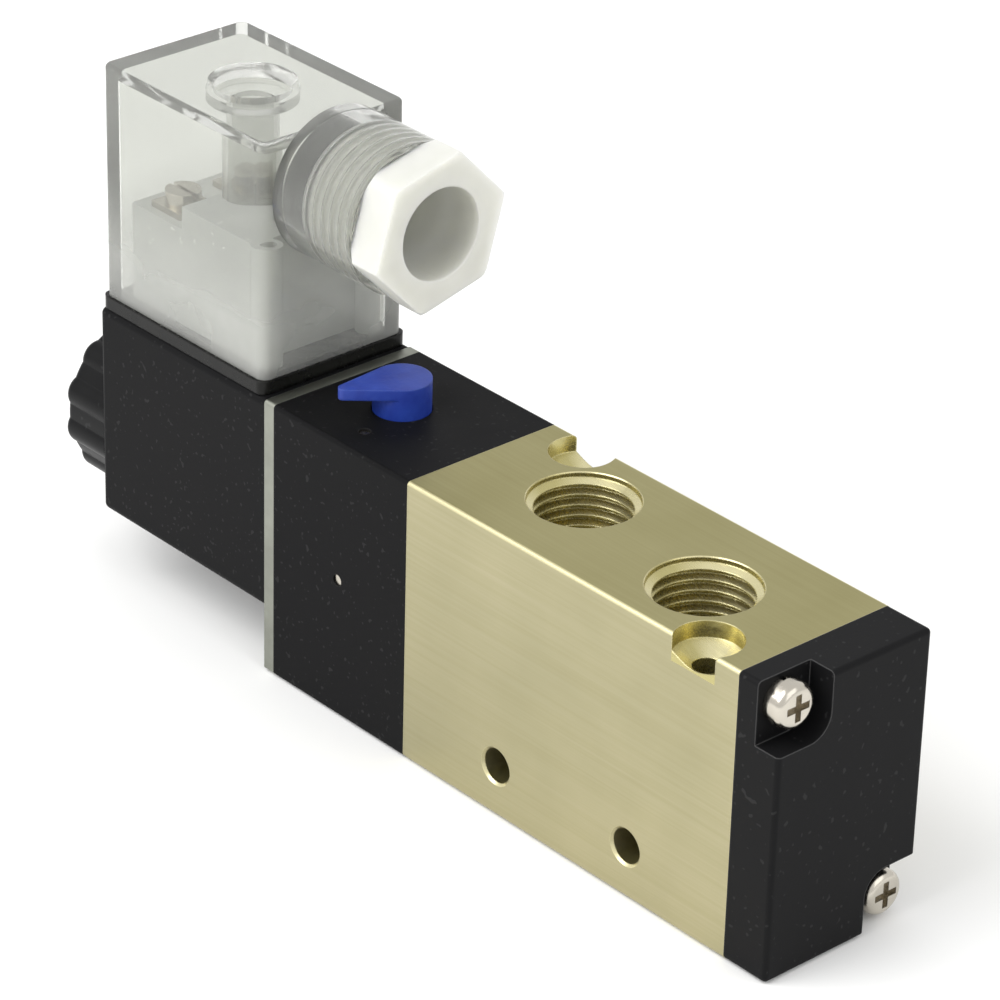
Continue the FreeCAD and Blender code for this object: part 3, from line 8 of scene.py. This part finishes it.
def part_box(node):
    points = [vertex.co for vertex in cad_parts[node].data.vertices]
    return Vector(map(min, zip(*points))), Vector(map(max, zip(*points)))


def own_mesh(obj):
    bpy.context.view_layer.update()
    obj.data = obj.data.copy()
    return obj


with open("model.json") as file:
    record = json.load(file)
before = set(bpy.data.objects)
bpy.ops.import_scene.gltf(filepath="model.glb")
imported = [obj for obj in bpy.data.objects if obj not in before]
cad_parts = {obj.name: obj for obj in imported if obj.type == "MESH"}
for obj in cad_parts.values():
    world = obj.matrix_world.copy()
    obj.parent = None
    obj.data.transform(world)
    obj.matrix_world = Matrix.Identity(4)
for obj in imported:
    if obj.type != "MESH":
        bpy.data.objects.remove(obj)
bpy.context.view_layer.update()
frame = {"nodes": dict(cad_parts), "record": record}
NODES = frame["nodes"]
MM = 0.001

BODY_LOW, BODY_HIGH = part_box("valve_body")

# the plug's housing turns from cloudy to clear between these heights above its foot
PLUG_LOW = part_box("connector_housing")[0]
SKIRT_CLOUDY = 6.0 * MM
SKIRT_CLEAR = 16.0 * MM

# where the body's anodising is cut away, in millimetres
PORT_RIM = 1.1
SEAT_FROM_END = 6.95
SEAT_FROM_SIDE = 2.2
SEAT_RADIUS = 4.05
SEAT_DEPTH = 3.3

# how softly those places end, in metres; a pair holds the start and end below a face
SPOT_BLUR = 0.05 * MM
FACE_BLUR = (0.06 * MM, 0.01 * MM)
SEAT_BLUR = 0.1 * MM
SIDE_BLUR = (0.1 * MM, 0.02 * MM)

# the camera, worked out for a 36 mm sensor
AIM_FROM_BODY = Vector((7.4, -3.82, 34.65)) * MM
AZIMUTH, ELEVATION, ROLL = 47.88, 28.51, 1.6
CAMERA_DISTANCE = 0.52518
SENSOR = 36.0
LENS = 167.32
NEAREST_SEEN = 0.05

# the floor and the lamps, in metres and watts
FLOOR_REACH = 3.0
FLOOR_LEVEL = -0.0002
LAMPS_AIM_AT = Vector((0.0, 0.0, 0.02))
WORLD_STRENGTH = 0.9
LAMPS = (
    # name, direction, distance, size, power
    ("key", (-0.35, -1.0, 1.1), 0.9, 0.7, 6.0),
    ("fill", (1.0, 0.1, 0.7), 1.0, 0.8, 2.0),
)


def srgb(red, green, blue):
    """A colour given as 0 to 255 screen values, as linear light."""
    linear = []
    for value in (red, green, blue):
        share = value / 255
        linear.append(share / 12.92 if share <= 0.04045 else ((share + 0.055) / 1.055) ** 2.4)
    return (*linear, 1.0)


class Shader:
    """A material under construction: short calls that add and link nodes."""

    def __init__(self, name):
        self.material = bpy.data.materials.new(name)
        self.material.use_nodes = True
        self.tree = self.material.node_tree
        self.tree.nodes.clear()
        self.output = self.node("ShaderNodeOutputMaterial")
        self.coordinates = self.node("ShaderNodeTexCoord").outputs["Object"]

    def node(self, kind, **settings):
        made = self.tree.nodes.new(kind)
        for key, value in settings.items():
            setattr(made, key, value)
        return made

    def feed(self, socket, value):
        """Link a socket to an output, or set it to a plain value."""
        if isinstance(value, bpy.types.NodeSocket):
            self.tree.links.new(value, socket)
        else:
            socket.default_value = value

    def stretched(self, scale):
        """Object coordinates in metres multiplied by a scale for each axis."""
        mapping = self.node("ShaderNodeMapping")
        self.feed(mapping.inputs["Vector"], self.coordinates)
        mapping.inputs["Scale"].default_value = scale
        return mapping.outputs["Vector"]

    def noise(self, scale, detail=3.0, rough=0.55, stretch=None):
        texture = self.node("ShaderNodeTexNoise")
        source = self.stretched(stretch) if stretch else self.coordinates
        self.feed(texture.inputs["Vector"], source)
        texture.inputs["Scale"].default_value = scale
        texture.inputs["Detail"].default_value = detail
        texture.inputs["Roughness"].default_value = rough
        return texture.outputs["Fac"]

    def ranged(self, value, low, high, from_low=0.3, from_high=0.7):
        """Map a texture value onto a new range."""
        node = self.node("ShaderNodeMapRange")
        self.feed(node.inputs["Value"], value)
        node.inputs["From Min"].default_value = from_low
        node.inputs["From Max"].default_value = from_high
        node.inputs["To Min"].default_value = low
        node.inputs["To Max"].default_value = high
        return node.outputs["Result"]

    def math(self, operation, first, second=0.0):
        node = self.node("ShaderNodeMath", operation=operation)
        self.feed(node.inputs[0], first)
        self.feed(node.inputs[1], second)
        return node.outputs["Value"]

    def blend(self, share, first, second):
        node = self.node("ShaderNodeMix", data_type="RGBA")
        self.feed(node.inputs["Factor"], share)
        self.feed(node.inputs["A"], first)
        self.feed(node.inputs["B"], second)
        return node.outputs["Result"]

    def soft_edges(self, radius):
        """Normals rounded over every sharp edge."""
        node = self.node("ShaderNodeBevel", samples=4)
        node.inputs["Radius"].default_value = radius
        return node.outputs["Normal"]

    def split(self, vector):
        """The three parts of a vector, by name."""
        node = self.node("ShaderNodeSeparateXYZ")
        self.feed(node.inputs[0], vector)
        return {axis: node.outputs[axis] for axis in "XYZ"}

    def sloped_edges(self):
        """1 on the rounded edges along the top of the body, where a face turns from side to top; the body's
        painted highlight goes there.
        """
        facing = self.split(self.node("ShaderNodeNewGeometry").outputs["Normal"])
        across = self.math("ABSOLUTE", facing["Y"])
        slope = self.math("MULTIPLY", across, facing["Z"])
        return self.ranged(slope, 0.0, 1.0, 0.08, 0.3)

    def edge_share(self, radius):
        """1 along sharp edges and 0 on open faces."""
        geometry = self.node("ShaderNodeNewGeometry")
        dot = self.node("ShaderNodeVectorMath", operation="DOT_PRODUCT")
        self.feed(dot.inputs[0], self.soft_edges(radius))
        self.feed(dot.inputs[1], geometry.outputs["Normal"])
        return self.ranged(dot.outputs["Value"], 1.0, 0.0, 0.75, 0.99)

    def bump(self, height, distance, strength=1.0, normal=None):
        node = self.node("ShaderNodeBump")
        self.feed(node.inputs["Height"], height)
        node.inputs["Distance"].default_value = distance
        node.inputs["Strength"].default_value = strength
        if normal is not None:
            self.feed(node.inputs["Normal"], normal)
        return node.outputs["Normal"]

    def principled(self, **values):
        node = self.node("ShaderNodeBsdfPrincipled")
        for key, value in values.items():
            self.feed(node.inputs[key.replace("_", " ")], value)
        return node.outputs["BSDF"]

    def finish(self, surface):
        self.tree.links.new(surface, self.output.inputs["Surface"])
        return self.material


def near_axis(shader, middle, radius, blur):
    """1 within a radius of an upright axis, in the XY plane."""
    flat = shader.node("ShaderNodeVectorMath", operation="MULTIPLY")
    shader.feed(flat.inputs[0], shader.coordinates)
    flat.inputs[1].default_value = (1.0, 1.0, 0.0)
    gap = shader.node("ShaderNodeVectorMath", operation="DISTANCE")
    shader.feed(gap.inputs[0], flat.outputs["Vector"])
    gap.inputs[1].default_value = (middle[0], middle[1], 0.0)
    return shader.ranged(gap.outputs["Value"], 1.0, 0.0, radius - blur, radius)


def cut_metal_places():
    """Middle and radius, in millimetres, of every place on top of the body where a cutter went in."""
    places = []
    for mount in frame["record"]["mounts"]:
        if mount["name"] in ("port_a", "port_b"):
            x, y, _ = mount["pos_m"]
            places.append((x / MM, y / MM, mount["dims"]["r_mm"] + PORT_RIM))
    seat_x, seat_y = BODY_HIGH[0] / MM - SEAT_FROM_END, BODY_HIGH[1] / MM - SEAT_FROM_SIDE
    places.append((seat_x, -seat_y, SEAT_RADIUS))
    places.append((-seat_x, seat_y, SEAT_RADIUS))
    return places


def anodised_body():
    """Champagne anodised aluminium: drawn lines along X, brighter bare metal in the ports and seats, painted
    shade that makes the upward faces darker than the sides, and a painted highlight along the top edges.
    """
    shader = Shader("body_anodised")
    lines = shader.noise(1.0, 4.0, 0.6, stretch=(30.0, 2600.0, 2600.0))
    cloud = shader.noise(60.0, 3.0, 0.5)
    # painted light and shade: the sides get a lighter copy of the anodised colour and the upward faces a
    # darker, more olive copy
    facing_up = shader.split(shader.node("ShaderNodeNewGeometry").outputs["Normal"])["Z"]
    side = shader.blend(shader.ranged(cloud, 0.0, 1.0), srgb(170, 164, 131), srgb(180, 173, 140))
    shaded_top = shader.blend(shader.ranged(cloud, 0.0, 1.0), srgb(158, 151, 104), srgb(168, 161, 116))
    base = shader.blend(shader.ranged(facing_up, 0.0, 1.0, 0.4, 0.8), side, shaded_top)
    drawn = shader.blend(shader.ranged(lines, 0.0, 0.2), base, srgb(150, 143, 98))
    cut = 0.0
    for x, y, radius in cut_metal_places():
        spot = near_axis(shader, (x * MM, y * MM), radius * MM, SPOT_BLUR)
        cut = shader.math("MAXIMUM", cut, spot)
    height = shader.split(shader.coordinates)["Z"]
    top = BODY_HIGH[2]
    under_face = shader.ranged(height, 1.0, 0.0, top - FACE_BLUR[0], top - FACE_BLUR[1])
    seat_floor = top - SEAT_DEPTH * MM
    above_seat = shader.ranged(height, 0.0, 1.0, seat_floor - SEAT_BLUR, seat_floor)
    across = shader.math("ABSOLUTE", shader.split(shader.coordinates)["Y"])
    side_face = BODY_HIGH[1]
    outside = shader.ranged(across, 0.0, 1.0, side_face - SIDE_BLUR[0], side_face - SIDE_BLUR[1])
    on_side = shader.math("MULTIPLY", outside, shader.math("SUBTRACT", 1.0, above_seat))
    cut = shader.math("MULTIPLY", cut, under_face)
    cut = shader.math("MULTIPLY", cut, shader.math("SUBTRACT", 1.0, on_side))
    bare = shader.blend(cut, drawn, srgb(190, 181, 126))
    # painted highlight: a pale champagne band along the rounded top edges and every sharp edge of the body
    bright = shader.math("MAXIMUM", shader.sloped_edges(), shader.edge_share(0.15 * MM))
    colour = shader.blend(shader.math("MULTIPLY", bright, 0.8), bare, srgb(228, 220, 176))
    rough = shader.ranged(lines, 0.30, 0.42)
    rough = shader.math("SUBTRACT", rough, shader.math("MULTIPLY", cut, 0.1))
    normal = shader.bump(lines, 0.006 * MM, 0.6, shader.soft_edges(0.2 * MM))
    return shader.finish(
        shader.principled(Base_Color=colour, Metallic=0.92, Roughness=rough, Normal=normal)
    )


def black_plastic(name, shade, rough, grain, sheen=0.06, edge_highlight=60):
    """Moulded black plastic with a fine grain, faint flow marks, dust specks and a paler painted highlight
    along its edges.
    """
    shader = Shader(name)
    fine = shader.noise(grain, 2.0, 0.6)
    cloud = shader.noise(90.0, 4.0, 0.6, stretch=(1.0, 1.0, 0.35))
    dark = srgb(shade, shade, shade + 1)
    pale = srgb(shade + 5, shade + 5, shade + 6)
    base = shader.blend(shader.ranged(cloud, 0.0, 1.0), dark, pale)
    specks = shader.ranged(shader.noise(grain * 0.7, 0.0, 0.5), 0.0, 1.0, 0.74, 0.8)
    dusty = shader.blend(shader.math("MULTIPLY", specks, 0.12), base, srgb(96, 96, 96))
    # painted highlight: the colour turns a paler grey along the sharp edges
    edges = shader.edge_share(0.25 * MM)
    colour = shader.blend(shader.math("MULTIPLY", edges, 0.6), dusty, srgb(edge_highlight, edge_highlight, edge_highlight))
    normal = shader.bump(fine, 0.012 * MM, 0.45, shader.soft_edges(0.25 * MM))
    return shader.finish(
        shader.principled(
            Base_Color=colour,
            Roughness=shader.ranged(cloud, rough - 0.06, rough + 0.06),
            Normal=normal,
            Specular_IOR_Level=sheen,
        )
    )


def bright_metal(name, colour, rough, grain=900.0):
    """Plated or machined metal with a light tarnish."""
    shader = Shader(name)
    cloud = shader.noise(grain, 3.0, 0.6)
    stain = shader.noise(grain * 0.25, 2.0, 0.5)
    dull = tuple(channel * 0.72 for channel in colour[:3]) + (1.0,)
    base = shader.blend(shader.ranged(stain, 0.0, 0.6), colour, dull)
    normal = shader.bump(cloud, 0.008 * MM, 0.5, shader.soft_edges(0.12 * MM))
    return shader.finish(
        shader.principled(
            Base_Color=base,
            Metallic=1.0,
            Roughness=shader.ranged(cloud, rough - 0.06, rough + 0.08),
            Normal=normal,
        )
    )


def rubber(name, shade, rough):
    shader = Shader(name)
    cloud = shader.noise(500.0, 3.0, 0.6)
    colour = shader.blend(
        shader.ranged(cloud, 0.0, 1.0), srgb(shade, shade, shade), srgb(shade + 12, shade + 12, shade + 10)
    )
    normal = shader.bump(cloud, 0.03 * MM, 0.5, shader.soft_edges(0.3 * MM))
    return shader.finish(
        shader.principled(
            Base_Color=colour,
            Roughness=shader.ranged(cloud, rough - 0.05, rough + 0.1),
            Normal=normal,
            Specular_IOR_Level=0.2,
        )
    )


def blue_plastic():
    """Soft blue plastic with a slightly rough, scuffed face and a painted highlight along its edges."""
    shader = Shader("blue_plastic")
    fine = shader.noise(1600.0, 3.0, 0.6)
    broad = shader.noise(300.0, 3.0, 0.6)
    base = shader.blend(shader.ranged(broad, 0.0, 1.0), srgb(22, 46, 136), srgb(34, 64, 158))
    # painted highlight: the colour turns a paler blue along the sharp edges
    edges = shader.edge_share(0.3 * MM)
    colour = shader.blend(shader.math("MULTIPLY", edges, 0.3), base, srgb(92, 120, 200))
    normal = shader.bump(shader.math("ADD", fine, broad), 0.05 * MM, 0.7, shader.soft_edges(0.3 * MM))
    return shader.finish(
        shader.principled(
            Base_Color=colour,
            Roughness=0.42,
            Normal=normal,
            Subsurface_Weight=0.08,
            Subsurface_Radius=(0.002, 0.002, 0.004),
        )
    )


def milky_plastic(name, colour, rough):
    """White nylon: light goes a little way in, and the moulding has faint flow marks."""
    shader = Shader(name)
    broad = shader.noise(120.0, 3.0, 0.55)
    fine = shader.noise(1500.0, 2.0, 0.5)
    darker = tuple(channel * 0.9 for channel in colour[:3]) + (1.0,)
    base = shader.blend(shader.ranged(broad, 0.0, 1.0), colour, darker)
    normal = shader.bump(fine, 0.012 * MM, 0.5, shader.soft_edges(0.35 * MM))
    return shader.finish(
        shader.principled(
            Base_Color=base,
            Roughness=shader.ranged(broad, rough - 0.05, rough + 0.08),
            Normal=normal,
            Subsurface_Weight=0.9,
            Subsurface_Radius=(1.0, 1.0, 0.9),
            Subsurface_Scale=0.004,
        )
    )


def clear_plastic(name, tint, film_colour, bend, frost, haze, skirt_haze):
    """Clear moulded plastic: seen through with some haze, cloudier low down, and with painted shade along
    its edges.
    """
    shader = Shader(name)
    broad = shader.noise(80.0, 3.0, 0.5)
    fine = shader.noise(900.0, 3.0, 0.6)
    normal = shader.bump(broad, 0.03 * MM, 0.2)
    # painted shade: the glass colour turns dark grey along the sharp edges, standing in for the dark lines
    # that refraction gives
    edges = shader.edge_share(0.2 * MM)
    glass = shader.principled(
        Base_Color=shader.blend(shader.math("MULTIPLY", edges, 0.5), tint, srgb(104, 106, 102)),
        Roughness=shader.ranged(fine, frost * 0.7, frost * 1.4),
        IOR=bend,
        Transmission_Weight=1.0,
        Normal=normal,
    )
    film = shader.principled(Base_Color=film_colour, Roughness=0.35, Normal=normal)
    mix = shader.node("ShaderNodeMixShader")
    height = shader.split(shader.coordinates)["Z"]
    veil = shader.ranged(height, skirt_haze, haze, PLUG_LOW[2] + SKIRT_CLOUDY, PLUG_LOW[2] + SKIRT_CLEAR)
    shader.feed(mix.inputs["Fac"], shader.math("MULTIPLY", veil, shader.ranged(broad, 0.85, 1.15)))
    shader.feed(mix.inputs[1], glass)
    shader.feed(mix.inputs[2], film)
    return shader.finish(mix.outputs["Shader"])


def painted(nodes, material):
    """Give CAD nodes a material of this scene."""
    for name in nodes:
        mesh_object = NODES[name]
        for index in range(len(mesh_object.material_slots)):
            mesh_object.material_slots[index].link = "OBJECT"
            mesh_object.material_slots[index].material = material


def paint_all():
    painted(["valve_body"], anodised_body())
    painted(["pilot_body"], black_plastic("pilot_black", 16, 0.5, 2600.0))
    painted(["coil_housing"], black_plastic("coil_black", 17, 0.46, 2600.0))
    # the end cap gets a brighter painted edge highlight than the other black parts
    painted(["end_cap"], black_plastic("cap_black", 18, 0.5, 2200.0, 0.08, 120))
    painted(["coil_nut"], black_plastic("knob_black", 14, 0.35, 2000.0, 0.12))
    painted(["drive_piston", "coil_bobbin"], black_plastic("inner_black", 34, 0.55, 2000.0))
    nickel = bright_metal("nickel", srgb(206, 200, 188), 0.2)
    painted(["end_cap_screws", "end_cap_spring_washers", "pilot_screws"], nickel)
    painted(["passage_plugs", "override_pin", "fixing_screw"], nickel)
    painted(["terminal_screws", "terminal_clamps", "coil_nut_washer"], nickel)
    steel = bright_metal("steel", srgb(190, 190, 188), 0.34)
    painted(["armature_tube", "fixed_core", "plunger", "spool"], steel)
    painted(["return_spring", "plunger_spring", "override_spring"], steel)
    painted(["tube_plate", "coil_yoke"], bright_metal("zinc", srgb(157, 159, 149), 0.38))
    brass = bright_metal("brass", srgb(205, 176, 110), 0.3)
    painted(["pilot_nozzle", "coil_terminals", "terminal_clips", "fixing_bush"], brass)
    painted(["coil_winding"], bright_metal("copper", srgb(190, 112, 70), 0.4))
    seals = rubber("seal_rubber", 22, 0.5)
    painted(["spool_seals", "piston_seal", "end_cap_gasket", "pilot_gasket", "tube_ring"], seals)
    painted(["override_seals", "plunger_seals"], seals)
    painted(["connector_gasket"], rubber("gasket_rubber", 8, 0.25))
    painted(["gland_grommet"], rubber("grommet_rubber", 50, 0.55))
    painted(["override_lever"], blue_plastic())
    white = milky_plastic("white_nylon", srgb(211, 211, 205), 0.42)
    painted(["gland_nut", "gland_follower"], white)
    block = clear_plastic("block_frosted", srgb(244, 245, 244), srgb(238, 239, 237), 1.2, 0.2, 0.72, 0.8)
    painted(["terminal_block"], block)
    housing = clear_plastic("housing_clear", srgb(233, 234, 230), srgb(214, 215, 210), 1.25, 0.05, 0.12, 0.3)
    painted(["connector_housing"], housing)


def compress_springs():
    """Give each coil spring a mesh of its own; the joint, axis and fixed end listed with it are not used."""
    for name, joint, axis, fixed_end in (
        ("return_spring", "spool_slide", Vector((1.0, 0.0, 0.0)), "high"),
        ("plunger_spring", "plunger_slide", Vector((1.0, 0.0, 0.0)), "low"),
        ("override_spring", "override_press", Vector((0.0, 0.0, 1.0)), "low"),
    ):
        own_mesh(NODES[name])


def make_floor():
    mesh = bpy.data.meshes.new("floor")
    corners = [
        (x * FLOOR_REACH, y * FLOOR_REACH, FLOOR_LEVEL)
        for x, y in ((-1, -1), (1, -1), (1, 1), (-1, 1))
    ]
    mesh.from_pydata(corners, [], [(0, 1, 2, 3)])
    floor = bpy.data.objects.new("floor", mesh)
    bpy.context.scene.collection.objects.link(floor)
    shader = Shader("floor_white")
    cloud = shader.noise(3.0, 2.0, 0.5)
    colour = shader.blend(cloud, srgb(244, 244, 243), srgb(248, 248, 247))
    mesh.materials.append(shader.finish(shader.principled(Base_Color=colour, Roughness=0.9)))


def camera_axes():
    """Right, up and back of the camera as world directions."""
    azimuth, elevation, roll = (math.radians(angle) for angle in (AZIMUTH, ELEVATION, ROLL))
    back = Vector(
        (
            math.sin(azimuth) * math.cos(elevation),
            -math.cos(azimuth) * math.cos(elevation),
            math.sin(elevation),
        )
    )
    level_right = (-back).cross(Vector((0, 0, 1))).normalized()
    level_up = level_right.cross(-back)
    right = level_right * math.cos(roll) + level_up * math.sin(roll)
    up = level_up * math.cos(roll) - level_right * math.sin(roll)
    return right, up, back


def make_camera():
    right, up, back = camera_axes()
    aim = Vector((BODY_LOW[0], 0.0, BODY_LOW[2])) + AIM_FROM_BODY
    data = bpy.data.cameras.new("camera")
    data.lens = LENS
    data.sensor_width = SENSOR
    data.clip_start = NEAREST_SEEN
    camera = bpy.data.objects.new("camera", data)
    turn = Matrix((right, up, back)).transposed().to_4x4()
    camera.matrix_world = Matrix.Translation(aim + back * CAMERA_DISTANCE) @ turn
    bpy.context.scene.collection.objects.link(camera)
    bpy.context.scene.camera = camera


def area_light(name, direction, distance, size, power):
    """A soft square lamp in a direction from the valve, turned to face it."""
    data = bpy.data.lights.new(name, "AREA")
    data.size = size
    data.energy = power
    lamp = bpy.data.objects.new(name, data)
    heading = Vector(direction).normalized()
    lamp.location = LAMPS_AIM_AT + heading * distance
    lamp.rotation_mode = "QUATERNION"
    lamp.rotation_quaternion = heading.to_track_quat("Z", "Y")
    bpy.context.scene.collection.objects.link(lamp)


def light_scene():
    world = bpy.data.worlds.new("studio")
    world.use_nodes = True
    background = world.node_tree.nodes["Background"]
    background.inputs["Color"].default_value = (1.0, 1.0, 1.0, 1.0)
    background.inputs["Strength"].default_value = WORLD_STRENGTH
    bpy.context.scene.world = world
    for lamp in LAMPS:
        area_light(*lamp)
    bpy.context.scene.view_settings.view_transform = "Standard"


paint_all()
compress_springs()
make_floor()
make_camera()
light_scene()
